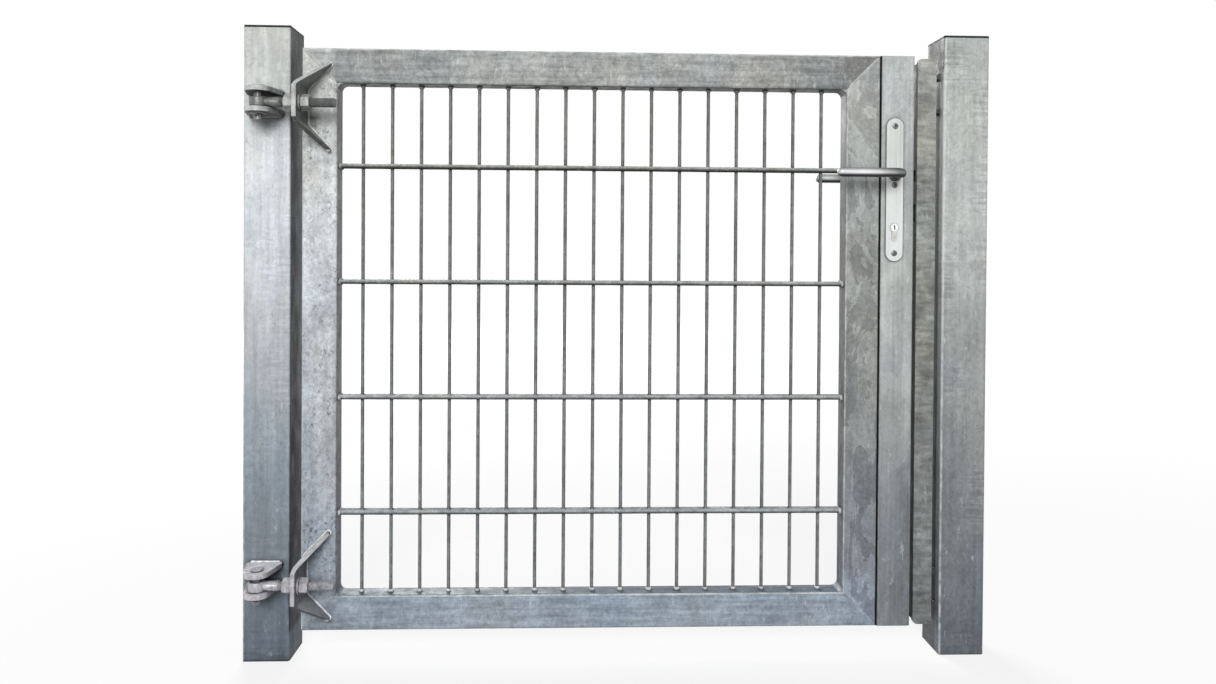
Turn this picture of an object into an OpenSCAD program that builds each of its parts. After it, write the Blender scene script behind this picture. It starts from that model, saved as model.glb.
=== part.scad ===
// Single-leaf garden gate of galvanised steel between two square posts.
// Origin: centre of the hinge post's foot. X runs along the gate, Y away from the front, Z up.

/* [Posts] */
// Outer width of the square posts
post_w = 80; // [60:1:120]
// Wall of the posts
post_wall = 3; // [2:0.5:5]
// Outer corner radius of the posts
post_r = 5; // [3.5:0.5:9]
// Post tubes above the leaf, without their caps
post_over = 32; // [5:1:300]
// Thickness of a cap's top plate
cap_t = 4; // [2:0.5:6]
// Chamfer round a cap's top
cap_edge = 1; // [0.5:0.1:1.5]
// Depth of a cap's skirt inside the tube
cap_skirt = 18; // [8:1:40]
// Wall of a cap's skirt
cap_wall = 2; // [1:0.5:4]

/* [Leaf frame] */
// Width of the mitred frame, without the lock box
leaf_w = 1000; // [700:1:1500]
// Height of the leaf
leaf_h = 1000; // [850:1:1800]
// Gap between the ground and the leaf
ground_gap = 50; // [20:1:150]
// Gap between the hinge post and the leaf
hinge_gap = 17; // [12:1:40]
// Face width of the frame tubes
tube_w = 60; // [40:1:80]
// Depth of the frame tubes
tube_d = 40; // [30:1:60]
// Wall of the frame tubes
tube_wall = 3; // [2:0.5:4]
// Outer corner radius of the frame tubes
tube_r = 4; // [3.5:0.5:8]
// How far the leaf's face lies behind the posts' front faces
leaf_setback = 5; // [0:1:20]

/* [Mesh] */
// Spacing of the upright wires
wire_pitch = 50; // [30:1:100]
// Diameter of the upright wires
wire_d = 6; // [4:0.5:8]
// Spacing of the level double bars
bar_pitch = 200; // [100:1:300]
// Diameter of the level bars
bar_d = 8; // [5:0.5:10]
// How deep the wires sink into the bars at a weld
weld_sink = 0.4; // [0.2:0.1:1]

/* [Hinges] */
// Diameter of the hinge pins
pin_d = 14; // [10:0.5:18]
// Pin axis in front of the hinge post's face
pin_out = 45; // [35:1:70]
// Upper pin below the leaf's top
top_hinge_in = 102; // [80:1:300]
// Lower pin above the leaf's bottom
bottom_hinge_in = 96; // [80:1:300]
// Thickness of the lug plates
lug_t = 8; // [5:0.5:12]
// Clear height between the two lugs of a hinge
lug_room = 26; // [20:1:40]
// Radius of a lug's round end
lug_r = 21; // [16:0.5:28]
// Width of a lug at the post, to the left of the pin
lug_left = 30; // [22:1:40]
// Width of a lug at the post, to the right of the pin
lug_right = 29; // [22:1:40]
// Radius of a lug's two corners at the post
lug_corner_r = 7; // [3:0.5:10]
// Diameter of the washers on the pins
pin_washer_d = 28; // [24:0.5:36]
// Hole for the split pin through a hinge pin
split_d = 4; // [3:0.5:5]
// Diameter of a pin's flat head
pin_head_d = 20; // [16:0.5:26]
// Thickness of a pin's flat head
pin_head_t = 3.5; // [2:0.5:6]
// Length of pin below the lower lug
pin_tail = 13; // [8:1:20]
// Outer diameter of the eye
eye_d = 28; // [24:0.5:36]
// Height of the eye along the pin
eye_w = 17; // [12:0.5:20]
// Thread diameter of the eye bolt
bolt_d = 16; // [12:0.5:18]
// Length of the eye bolt from the pin's axis
bolt_l = 127; // [110:1:160]
// Hexagon nuts, across the flats
nut_af = 24; // [19:0.5:30]
// Height of the hexagon nuts
nut_h = 14.8; // [8:0.1:16]
// Outer diameter of the bolt washers
washer_d = 30; // [26:0.5:36]
// Thickness of the bolt washers
washer_t = 3; // [2:0.5:4]

/* [Bent brackets] */
// Thickness of the bracket plate
bracket_t = 7; // [5:0.5:10]
// Bracket plate from the leaf's hinge edge
bracket_in = 4; // [2:1:15]
// Height of the bracket's flat middle
bracket_flat = 52; // [40:1:60]
// How far the bracket stands out from the leaf's face
bracket_out = 73; // [66:1:90]
// Radius of the bends, at the middle of the plate
bracket_bend_r = 14; // [8:1:24]
// Angle of the arms from upright
bracket_angle = 44; // [30:1:50]
// Straight length of an arm
bracket_arm = 52; // [40:1:56]
// Depth left at the arms' tips
bracket_tip = 10; // [6:1:20]

/* [Lock] */
// Width of the lock box
box_w = 60; // [50:1:80]
// Thickness of the plates that close the lock box
box_end_t = 3; // [2:0.5:6]
// Spindle axis from the lock box's free side
backset = 35; // [30:1:40]
// Spindle axis below the leaf's top
lever_down = 208; // [170:1:600]
// Lock cylinder below the spindle
cylinder_drop = 92; // [72:1:110]
// Width of the escutcheons
plate_w = 30; // [26:0.5:34]
// Length of the escutcheons
plate_l = 250; // [220:1:280]
// Thickness of the escutcheons
plate_t = 3; // [2:0.5:5]
// Escutcheon above the spindle axis
plate_up = 99; // [60:1:110]
// Side of the square spindle
spindle_w = 8; // [7:0.5:10]
// Width of the lock's face plate
face_w = 24; // [20:0.5:26]
// Length of the lock's face plate
face_l = 245; // [200:1:270]
// Thickness of the lock case
case_d = 16; // [14:0.5:20]
// Depth of the lock case behind the face plate
case_w = 50; // [46:0.5:52]

/* [Lever handles] */
// Diameter of the lever
lever_d = 16; // [14:0.5:20]
// Length of the lever from the spindle axis
lever_l = 115; // [90:1:140]
// Middle of the grip in front of the leaf's face
lever_out = 50; // [40:1:70]
// Bend radius at the middle of the lever
lever_bend_r = 17; // [12:0.5:24]
// Diameter of the lever's collar
collar_d = 22; // [20:0.5:26]
// Length of the lever's collar
collar_l = 5; // [3:0.5:8]

/* [Latch side] */
// Gap between the lock box and the latch post
latch_gap = 50; // [45:1:90]
// Width of the keeper strip
strip_w = 33; // [25:1:34]
// Thickness of the keeper strip
strip_t = 7; // [5:0.5:8]
// Gap between the lock box and the keeper strip
strip_gap = 7.5; // [6.5:0.5:12]
// Strip's front face behind the leaf's face
strip_setback = 6.5; // [2:0.5:10]
// Radius of the strip's two free corners
strip_r = 8; // [4:0.5:12]
// Strip's top below the leaf's top
strip_top_in = 3; // [0:1:50]
// Thickness of the strip's tabs
tab_t = 8; // [5:0.5:12]
// How far the tabs reach behind the strip
tab_d = 24; // [15:1:35]
// Tabs from the strip's ends
tab_in = 30; // [20:1:80]
// Distance between the two tabs of a pair
tab_step = 60; // [30:1:120]

/* [Clearances] */
// Running clearance round the hinge pins
pin_clear = 0.1; // [0.05:0.05:0.3]
// Clearance round the pins in the lugs
lug_clear = 0.25; // [0.1:0.05:0.4]
// Gap under an eye that rests on its lug
eye_rest = 0.3; // [0.2:0.1:1]
// Clearance round the eye bolts in nuts and washers
thread_clear = 0.2; // [0.1:0.1:0.4]
// Clearance round the eye bolts in the brackets
bracket_clear = 0.5; // [0.3:0.1:0.9]
// Clearance of a piece that is set into another
fit_clear = 0.2; // [0.1:0.1:0.5]
// Clearance round the levers in the escutcheons
lever_clear = 0.3; // [0.2:0.1:0.6]
// Gap between a mesh rod's end and the frame it is welded to
weld_gap = 0.1; // [0.05:0.05:0.3]
// Clearance of hidden parts inside the lock box
inner_clear = 2; // [1:0.5:3]

/* [Hidden] */

round_fn = 48;
cut_over = 1;
bar_sides = 8;

// Leaf
leaf_x0 = post_w / 2 + hinge_gap;
leaf_x1 = leaf_x0 + leaf_w;
leaf_z0 = ground_gap;
leaf_z1 = leaf_z0 + leaf_h;
post_h = leaf_z1 + post_over;
leaf_front = -post_w / 2 + leaf_setback;
leaf_back = leaf_front + tube_d;
leaf_mid = leaf_front + tube_d / 2;

// Mesh
opening_w = leaf_w - 2 * tube_w;
opening_h = leaf_h - 2 * tube_w;
wire_count = floor(opening_w / wire_pitch);
bar_count = floor(opening_h / bar_pitch);
bar_offset = (wire_d + bar_d) / 2 - weld_sink;
wire_l = opening_h - 2 * weld_gap;
bar_l = opening_w - 2 * weld_gap;

// Hinges
pin_y = -post_w / 2 - pin_out;
top_hinge_z = leaf_z1 - top_hinge_in;
bottom_hinge_z = leaf_z0 + bottom_hinge_in;
lower_lug_top = -max(eye_w, bolt_d) / 2 - eye_rest;
upper_lug_top = lower_lug_top + lug_room + lug_t;
pin_low = lower_lug_top - lug_t - pin_tail;
pin_washer_t = 2.5;
split_z = lower_lug_top - lug_t - pin_washer_t - split_d / 2 - 0.5;
pin_edge = 1;
eye_edge = 1.2;
bolt_edge = 1.5;
nut_end_r = 0.95 * nut_af / 2;
nut_corner_r = nut_af / 2 / cos(30);
bracket_x0 = leaf_x0 + bracket_in;
bracket_x1 = bracket_x0 + bracket_t;
bend_steps = 8;
tip_steps = 8;
bend_x = bracket_t / 2 + bracket_bend_r;
tip_x = bend_x - bracket_bend_r * cos(bracket_angle) + bracket_arm * sin(bracket_angle);
tip_z = bracket_flat / 2 + bracket_bend_r * sin(bracket_angle) + bracket_arm * cos(bracket_angle);

// Lock
box_x0 = leaf_x1;
box_x1 = box_x0 + box_w;
spindle_x = box_x1 - backset;
spindle_z = leaf_z1 - lever_down;
cylinder_z = spindle_z - cylinder_drop;
cylinder_r = 8.5;
cylinder_web = 10;
cylinder_h = 33;
cylinder_proud = 1;
plate_mid_z = spindle_z + plate_up - plate_l / 2;
plate_edge = 0.6;
plate_screw_in = 14;
plate_screw_drop = 18;
plate_screws = [
    plate_l / 2 - plate_screw_in,
    spindle_z - plate_screw_drop - plate_mid_z,
    plate_screw_in - plate_l / 2
];
screw_d = 5.3;
screw_head_d = 10.8;
cylinder_plug_r = 6.5;
plug_line = 0.4;
key_w = 2.4;
key_h = 8.5;
key_depth = 12;
face_drop = 33;
face_z = spindle_z - face_drop;
face_t = tube_wall;
face_end = 30;
case_h = face_l - 2 * face_end;
follower_d = 14;
latch_w = 12;
latch_h = 17;
latch_l = 22;
dead_h = 28;
dead_rise = 26;
dead_z = cylinder_z + dead_rise;
bolt_slope = 7;

// Levers
collar_gap = 0.4;
collar_edge = 0.8;
socket_l = 18;

// Latch side
latch_post_x = box_x1 + latch_gap + post_w / 2;
strip_x0 = box_x1 + strip_gap;
strip_x1 = strip_x0 + strip_w;
strip_y0 = leaf_front + strip_setback;
strip_z0 = leaf_z0;
strip_z1 = leaf_z1 - strip_top_in;
tab_lap = 12;
tab_w = latch_post_x - post_w / 2 - strip_x1 + tab_lap;

zinc = [0.66, 0.68, 0.68];
dull_zinc = [0.55, 0.58, 0.59];
satin = [0.78, 0.78, 0.77];
black = [0.06, 0.06, 0.06];

// ---- shared shapes ----

// A rectangle with round corners, centred.
module round_rect(w, h, r) {
    square([w - 2 * r, h], center = true);
    square([w, h - 2 * r], center = true);
    for (x = [-1, 1], y = [-1, 1]) {
        translate([x * (w / 2 - r), y * (h / 2 - r)])
            circle(r, $fn = round_fn);
    }
}

// Section of a rectangular tube.
module tube_section(w, h, wall, r) {
    difference() {
        round_rect(w, h, r);
        round_rect(w - 2 * wall, h - 2 * wall, max(r - wall, 0.5));
    }
}

// A frame tube along +X with its outer edge on Y = 0, mitred towards +Y at both ends.
module mitred_tube(length) {
    over = tube_w + cut_over;
    difference() {
        translate([0, tube_w / 2, 0])
            rotate([90, 0, 90])
                linear_extrude(length)
                    tube_section(tube_w, tube_d, tube_wall, tube_r);
        linear_extrude(2 * tube_d, center = true)
            polygon([[-cut_over, -cut_over], [over, over], [-cut_over, over]]);
        linear_extrude(2 * tube_d, center = true)
            polygon([[length + cut_over, -cut_over], [length - over, over], [length + cut_over, over]]);
    }
}

// A bar of few sides along +Z that measures d across its flats.
module few_sided_bar(d, length) {
    rotate(180 / bar_sides)
        cylinder(h = length, d = d / cos(180 / bar_sides), $fn = bar_sides);
}

// A rod along +X.
module rod_x(d, length) {
    rotate([0, 90, 0])
        cylinder(h = length, d = d, $fn = round_fn);
}

// A rod along +Y.
module rod_y(d, length) {
    rotate([-90, 0, 0])
        cylinder(h = length, d = d, $fn = round_fn);
}

// A turned rod along +Z from z0 to z1, with chamfers e0 and e1 at its ends.
module turned(d, z0, z1, e0, e1) {
    r = d / 2;
    rotate_extrude($fn = round_fn)
        polygon([[0, z0], [r - e0, z0], [r, z0 + e0], [r, z1 - e1], [r - e1, z1], [0, z1]]);
}

// Direction in which a lug's straight side touches its round end and its corner, whose centre is p.
function side_normal(p, side) =
    let (turn = atan2(p.y, p.x) + side * acos((lug_r - lug_corner_r) / norm(p)))
    [cos(turn), sin(turn)];

// ---- posts ----

module post_tube() {
    linear_extrude(post_h)
        tube_section(post_w, post_w, post_wall, post_r);
}

// Edge view of a cap's top plate, chamfered along its upper edges.
module cap_side() {
    half = post_w / 2;
    polygon([
        [-half - cut_over, -cut_over], [half + cut_over, -cut_over],
        [half + cut_over, cap_t - cap_edge - cut_over], [half - cap_edge, cap_t],
        [cap_edge - half, cap_t], [-half - cut_over, cap_t - cap_edge - cut_over]
    ]);
}

module post_cap() {
    skirt = post_w - 2 * post_wall - 2 * fit_clear;
    translate([0, 0, post_h])
        intersection() {
            linear_extrude(cap_t)
                round_rect(post_w, post_w, post_r);
            rotate([90, 0, 0])
                linear_extrude(2 * post_w, center = true)
                    cap_side();
            rotate([90, 0, 90])
                linear_extrude(2 * post_w, center = true)
                    cap_side();
        }
    translate([0, 0, post_h - cap_skirt])
        linear_extrude(cap_skirt)
            tube_section(skirt, skirt, cap_wall, max(post_r - post_wall, cap_wall + 0.5));
}

module hinge_post() {
    color(zinc)
        post_tube();
}

module latch_post() {
    color(zinc)
        translate([latch_post_x, 0, 0])
            post_tube();
}

module hinge_post_cap() {
    color(black)
        post_cap();
}

module latch_post_cap() {
    color(black)
        translate([latch_post_x, 0, 0])
            post_cap();
}

// ---- hinges, drawn round the pin's axis with the eye's middle at Z = 0 ----

module lug(top) {
    r = lug_corner_r;
    left = [r - lug_left, pin_out - r];
    right = [lug_right - r, pin_out - r];
    left_out = side_normal(left, 1);
    right_out = side_normal(right, -1);
    translate([0, pin_y, top - lug_t])
        difference() {
            linear_extrude(lug_t)
                union() {
                    circle(lug_r, $fn = round_fn);
                    polygon([
                        left + [0, r], left + r * left_out, lug_r * left_out,
                        lug_r * right_out, right + r * right_out, right + [0, r]
                    ]);
                    for (p = [left, right]) {
                        translate(p)
                            circle(r, $fn = round_fn);
                    }
                }
            translate([0, 0, -cut_over])
                cylinder(h = lug_t + 2 * cut_over, r = pin_d / 2 + lug_clear, $fn = round_fn);
        }
}

module hinge_pin() {
    translate([0, pin_y, 0])
        difference() {
            union() {
                turned(pin_d, pin_low, upper_lug_top + pin_head_t / 2, pin_edge, 0);
                turned(pin_head_d, upper_lug_top, upper_lug_top + pin_head_t, 0, pin_edge);
            }
            translate([0, -pin_d, split_z])
                rod_y(split_d, 2 * pin_d);
        }
}

module pin_washer() {
    translate([0, pin_y, lower_lug_top - lug_t - pin_washer_t])
        difference() {
            cylinder(h = pin_washer_t, d = pin_washer_d, $fn = round_fn);
            translate([0, 0, -cut_over])
                cylinder(h = pin_washer_t + 2 * cut_over, r = pin_d / 2 + lug_clear, $fn = round_fn);
        }
}

module eye_bolt() {
    translate([0, pin_y, 0])
        difference() {
            union() {
                turned(eye_d, -eye_w / 2, eye_w / 2, eye_edge, eye_edge);
                rotate([0, 90, 0])
                    turned(bolt_d, 0, bolt_l, 0, bolt_edge);
            }
            translate([0, 0, -eye_w])
                cylinder(h = 2 * eye_w, r = pin_d / 2 + pin_clear, $fn = round_fn);
        }
}

// Hexagon nut with its corners chamfered at 30 degrees.
module hex_nut(x) {
    barrel_r = nut_corner_r + cut_over;
    slope = (barrel_r - nut_end_r) * tan(30);
    translate([x, pin_y, 0])
        rotate([0, 90, 0])
            difference() {
                intersection() {
                    cylinder(h = nut_h, r = nut_corner_r, $fn = 6);
                    rotate_extrude($fn = round_fn)
                        polygon([
                            [0, 0], [nut_end_r, 0], [barrel_r, slope],
                            [barrel_r, nut_h - slope], [nut_end_r, nut_h], [0, nut_h]
                        ]);
                }
                translate([0, 0, -cut_over])
                    cylinder(h = nut_h + 2 * cut_over, r = bolt_d / 2 + thread_clear, $fn = round_fn);
            }
}

module bolt_washer(x) {
    translate([x, pin_y, 0])
        difference() {
            rod_x(washer_d, washer_t);
            translate([-cut_over, 0, 0])
                rod_x(bolt_d + 2 * thread_clear, washer_t + 2 * cut_over);
        }
}

module outer_nut() {
    hex_nut(bracket_x0 - washer_t - nut_h);
}

module inner_nut() {
    hex_nut(bracket_x1 + washer_t);
}

module washer_pair() {
    bolt_washer(bracket_x0 - washer_t);
    bolt_washer(bracket_x1);
}

// Edge view of the upper half of the bent plate: one face's bend, the round tip, the other face's bend.
function bend_points(r) = [
    for (i = [0 : bend_steps])
    let (a = bracket_angle * i / bend_steps)
    [bend_x - r * cos(a), bracket_flat / 2 + r * sin(a)]
];
function tip_points() = [
    for (i = [0 : tip_steps])
    let (a = 180 - bracket_angle - 180 * i / tip_steps)
    [tip_x + bracket_t / 2 * cos(a), tip_z + bracket_t / 2 * sin(a)]
];
function reversed(list) = [for (i = [len(list) - 1 : -1 : 0]) list[i]];
function half_bow() = concat(
    bend_points(bracket_bend_r + bracket_t / 2),
    tip_points(),
    reversed(bend_points(bracket_bend_r - bracket_t / 2))
);
function bow() = concat(half_bow(), [for (p = reversed(half_bow())) [p.x, -p.y]]);

// Side view of the bracket: full depth at the flat, tapering to the tips.
module bracket_side() {
    end_z = tip_z + bracket_t;
    polygon([
        [0, -end_z], [bracket_tip, -end_z], [bracket_tip, -tip_z],
        [bracket_out, -bracket_flat / 2], [bracket_out, bracket_flat / 2],
        [bracket_tip, tip_z], [bracket_tip, end_z], [0, end_z]
    ]);
}

module bracket() {
    translate([bracket_x0, leaf_front, 0])
        difference() {
            intersection() {
                rotate([90, 0, 0])
                    linear_extrude(bracket_out)
                        polygon(bow());
                translate([-cut_over, 0, 0])
                    rotate([90, 0, 90])
                        mirror([1, 0, 0])
                            linear_extrude(tip_x + 2 * bracket_t)
                                bracket_side();
            }
            translate([-cut_over, pin_y - leaf_front, 0])
                rod_x(bolt_d + 2 * bracket_clear, bracket_t + 2 * cut_over);
        }
}

module at_top_hinge() {
    translate([0, 0, top_hinge_z])
        children();
}

module at_bottom_hinge() {
    translate([0, 0, bottom_hinge_z])
        children();
}

module top_upper_lug() {
    color(zinc) at_top_hinge() lug(upper_lug_top);
}

module top_lower_lug() {
    color(zinc) at_top_hinge() lug(lower_lug_top);
}

module bottom_upper_lug() {
    color(zinc) at_bottom_hinge() lug(upper_lug_top);
}

module bottom_lower_lug() {
    color(zinc) at_bottom_hinge() lug(lower_lug_top);
}

module top_pin() {
    color(dull_zinc) at_top_hinge() hinge_pin();
}

module bottom_pin() {
    color(dull_zinc) at_bottom_hinge() hinge_pin();
}

module top_pin_washer() {
    color(dull_zinc) at_top_hinge() pin_washer();
}

module bottom_pin_washer() {
    color(dull_zinc) at_bottom_hinge() pin_washer();
}

module top_bracket() {
    color(dull_zinc) at_top_hinge() bracket();
}

module bottom_bracket() {
    color(dull_zinc) at_bottom_hinge() bracket();
}

module top_eye_bolt() {
    color(dull_zinc) at_top_hinge() eye_bolt();
}

module bottom_eye_bolt() {
    color(dull_zinc) at_bottom_hinge() eye_bolt();
}

module top_outer_nut() {
    color(zinc) at_top_hinge() outer_nut();
}

module top_inner_nut() {
    color(zinc) at_top_hinge() inner_nut();
}

module bottom_outer_nut() {
    color(zinc) at_bottom_hinge() outer_nut();
}

module bottom_inner_nut() {
    color(zinc) at_bottom_hinge() inner_nut();
}

module top_washers() {
    color(zinc) at_top_hinge() washer_pair();
}

module bottom_washers() {
    color(zinc) at_bottom_hinge() washer_pair();
}

// ---- leaf frame and mesh ----

module hinge_stile() {
    color(zinc)
        translate([leaf_x0, leaf_mid, leaf_z0])
            rotate([0, -90, -90])
                mitred_tube(leaf_h);
}

module latch_stile() {
    color(zinc)
        translate([leaf_x1, leaf_mid, leaf_z0])
            mirror([1, 0, 0])
                rotate([0, -90, -90])
                    mitred_tube(leaf_h);
}

module bottom_rail() {
    color(zinc)
        translate([leaf_x0, leaf_mid, leaf_z0])
            rotate([90, 0, 0])
                mitred_tube(leaf_w);
}

module top_rail() {
    color(zinc)
        translate([leaf_x0, leaf_mid, leaf_z1])
            mirror([0, 0, 1])
                rotate([90, 0, 0])
                    mitred_tube(leaf_w);
}

// Upright wires between two layers of level bars, welded where they cross.
module mesh_panel() {
    color(zinc)
        translate([leaf_x0 + leaf_w / 2, leaf_mid, leaf_z0 + leaf_h / 2])
            union() {
                for (i = [0 : wire_count - 1]) {
                    translate([(i - (wire_count - 1) / 2) * wire_pitch, 0, -wire_l / 2])
                        few_sided_bar(wire_d, wire_l);
                }
                for (j = [0 : bar_count - 1], side = [-1, 1]) {
                    translate([-bar_l / 2, side * bar_offset, (j - (bar_count - 1) / 2) * bar_pitch])
                        rotate([0, 90, 0])
                            few_sided_bar(bar_d, bar_l);
                }
            }
}

// ---- lock ----

// Outline of a profile cylinder, widened all round by clear.
module cylinder_outline(clear) {
    web_r = cylinder_web / 2 + clear;
    foot = cylinder_h - cylinder_r - cylinder_web / 2;
    circle(cylinder_r + clear, $fn = round_fn);
    translate([-web_r, -foot])
        square([2 * web_r, foot]);
    translate([0, -foot])
        circle(web_r, $fn = round_fn);
}

// The same outline as a bar through the leaf, from y0 to y1.
module cylinder_bar(y0, y1, clear) {
    translate([spindle_x, y1, cylinder_z])
        rotate([90, 0, 0])
            linear_extrude(y1 - y0)
                cylinder_outline(clear);
}

module lock_box() {
    color(zinc)
        difference() {
            translate([box_x0 + box_w / 2, leaf_mid, leaf_z0])
                linear_extrude(leaf_h)
                    tube_section(box_w, tube_d, tube_wall, tube_r);
            translate([spindle_x, leaf_front - cut_over, spindle_z])
                rod_y(lever_d + 2 * inner_clear, tube_d + 2 * cut_over);
            cylinder_bar(leaf_front - cut_over, leaf_back + cut_over, inner_clear);
            translate([box_x1 - tube_wall / 2, leaf_mid, face_z])
                cube([tube_wall + 2 * cut_over, face_w + 2 * fit_clear, face_l + 2 * fit_clear], center = true);
        }
}

module box_end(z) {
    w = box_w - 2 * tube_wall - 2 * fit_clear;
    d = tube_d - 2 * tube_wall - 2 * fit_clear;
    color(zinc)
        translate([box_x0 + box_w / 2, leaf_mid, z])
            linear_extrude(box_end_t)
                round_rect(w, d, max(tube_r - tube_wall, 0.5));
}

module box_top_end() {
    box_end(leaf_z1 - box_end_t);
}

module box_bottom_end() {
    box_end(leaf_z0);
}

// A latch or dead bolt drawn back to the face plate, or the hole for it.
module lock_bolt(z, h, clear) {
    translate([box_x1 - latch_l - clear, leaf_mid - latch_w / 2 - clear, z - h / 2 - clear])
        cube([latch_l + 2 * clear, latch_w + 2 * clear, h + 2 * clear]);
}

module face_plate() {
    color(satin)
        difference() {
            translate([box_x1 - face_t, leaf_mid - face_w / 2, face_z - face_l / 2])
                cube([face_t, face_w, face_l]);
            lock_bolt(spindle_z, latch_h, fit_clear);
            lock_bolt(dead_z, dead_h, fit_clear);
        }
}

module lock_case() {
    color(dull_zinc)
        difference() {
            translate([box_x1 - face_t - case_w, leaf_mid - case_d / 2, face_z - case_h / 2])
                cube([case_w, case_d, case_h]);
            lock_bolt(spindle_z, latch_h, fit_clear);
            lock_bolt(dead_z, dead_h, fit_clear);
            translate([spindle_x, leaf_front, spindle_z])
                rod_y(follower_d, tube_d);
            cylinder_bar(leaf_front, leaf_back, fit_clear);
        }
}

module latch_bolt() {
    color(satin)
        difference() {
            lock_bolt(spindle_z, latch_h, 0);
            translate([box_x1, leaf_mid + latch_w / 2, spindle_z])
                rotate([0, 0, 45])
                    cube([bolt_slope, bolt_slope, 2 * latch_h], center = true);
        }
}

module dead_bolt() {
    color(satin)
        lock_bolt(dead_z, dead_h, 0);
}

// Keyway and the line round the plug, cut into the cylinder's face at Y = 0 towards +Y.
module key_cut() {
    translate([-key_w / 2, -cut_over, -key_h / 2])
        cube([key_w, key_depth + cut_over, key_h]);
    translate([0, -cut_over, 0])
        difference() {
            rod_y(2 * cylinder_plug_r, cut_over + plug_line);
            rod_y(2 * cylinder_plug_r - 2 * plug_line, cut_over + plug_line);
        }
}

module lock_cylinder() {
    out = plate_t + cylinder_proud;
    color(satin)
        difference() {
            cylinder_bar(leaf_front - out, leaf_back + out, 0);
            translate([spindle_x, leaf_front - out, cylinder_z])
                key_cut();
            translate([spindle_x, leaf_back + out, cylinder_z])
                mirror([0, 1, 0])
                    key_cut();
        }
}

// Round-ended plate on Z = 0 with a chamfer round its upper edge.
module plate_form() {
    straight = plate_l - plate_w;
    rotate([90, 0, 0])
        linear_extrude(straight, center = true)
            polygon([
                [-plate_w / 2, 0], [plate_w / 2, 0], [plate_w / 2, plate_t - plate_edge],
                [plate_w / 2 - plate_edge, plate_t], [plate_edge - plate_w / 2, plate_t],
                [-plate_w / 2, plate_t - plate_edge]
            ]);
    for (end = [-1, 1]) {
        translate([0, end * straight / 2, 0])
            turned(plate_w, 0, plate_t, 0, plate_edge);
    }
}

// Hole and countersink for a screw whose head lies flush in the plate's upper face.
module screw_hole() {
    sink = (screw_head_d - screw_d) / 2;
    translate([0, 0, -cut_over])
        cylinder(h = plate_t + 2 * cut_over, d = screw_d, $fn = round_fn);
    translate([0, 0, plate_t - sink])
        cylinder(h = sink + cut_over, d1 = screw_d, d2 = screw_head_d + 2 * cut_over, $fn = round_fn);
}

// Cover plate with its back on Y = 0 and its front towards -Y.
module escutcheon() {
    color(satin)
        difference() {
            translate([spindle_x, 0, plate_mid_z])
                rotate([90, 0, 0])
                    difference() {
                        plate_form();
                        for (y = plate_screws) {
                            translate([0, y, 0])
                                screw_hole();
                        }
                    }
            translate([spindle_x, -plate_t - cut_over, spindle_z])
                rod_y(lever_d + 2 * lever_clear, plate_t + 2 * cut_over);
            cylinder_bar(-plate_t - cut_over, cut_over, fit_clear);
        }
}

module front_escutcheon() {
    translate([0, leaf_front, 0])
        escutcheon();
}

module back_escutcheon() {
    translate([0, leaf_back, 0])
        mirror([0, 1, 0])
            escutcheon();
}

// ---- lever handles ----

// Front lever: neck out of the escutcheon, bend and grip, with the leaf's face at Y = 0.
module lever() {
    neck_l = lever_out - lever_bend_r;
    grip_l = lever_l - lever_bend_r - lever_d / 2;
    socket = spindle_w + 2 * fit_clear;
    color(satin)
        translate([spindle_x, 0, spindle_z])
            difference() {
                union() {
                    translate([0, -neck_l, 0])
                        rod_y(lever_d, neck_l);
                    translate([0, -plate_t - collar_gap - collar_l, 0])
                        rotate([-90, 0, 0])
                            turned(collar_d, 0, collar_l, collar_edge, 0);
                    translate([-lever_bend_r, -neck_l, 0])
                        rotate(-90)
                            rotate_extrude(angle = 90, $fn = round_fn)
                                translate([lever_bend_r, 0])
                                    circle(d = lever_d, $fn = round_fn);
                    translate([-lever_bend_r - grip_l, -lever_out, 0])
                        rod_x(lever_d, grip_l);
                    translate([-lever_bend_r - grip_l, -lever_out, 0])
                        sphere(d = lever_d, $fn = round_fn);
                }
                translate([-socket / 2, -socket_l, -socket / 2])
                    cube([socket, socket_l + cut_over, socket]);
            }
}

module front_lever() {
    translate([0, leaf_front, 0])
        lever();
}

module back_lever() {
    translate([0, leaf_back, 0])
        mirror([0, 1, 0])
            lever();
}

module spindle() {
    reach = socket_l - cut_over;
    color(dull_zinc)
        translate([spindle_x - spindle_w / 2, leaf_front - reach, spindle_z - spindle_w / 2])
            cube([spindle_w, tube_d + 2 * reach, spindle_w]);
}

// ---- latch side ----

// Flat strip beside the lock box, with round corners on its free side.
module keeper_strip() {
    height = strip_z1 - strip_z0;
    color(zinc)
        translate([strip_x0, strip_y0 + strip_t, strip_z0])
            rotate([90, 0, 0])
                linear_extrude(strip_t)
                    union() {
                        translate([strip_r, 0])
                            square([strip_w - strip_r, height]);
                        translate([0, strip_r])
                            square([strip_w, height - 2 * strip_r]);
                        for (z = [strip_r, height - strip_r]) {
                            translate([strip_r, z])
                                circle(strip_r, $fn = round_fn);
                        }
                    }
}

// Four small tabs that join the strip's back to the post.
module keeper_tabs() {
    post_face = latch_post_x - post_w / 2;
    color(zinc)
        for (z = [strip_z0 + tab_in, strip_z0 + tab_in + tab_step,
                  strip_z1 - tab_in - tab_step, strip_z1 - tab_in]) {
            translate([post_face - tab_w, strip_y0 + strip_t, z - tab_t / 2])
                cube([tab_w, tab_d, tab_t]);
        }
}

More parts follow.
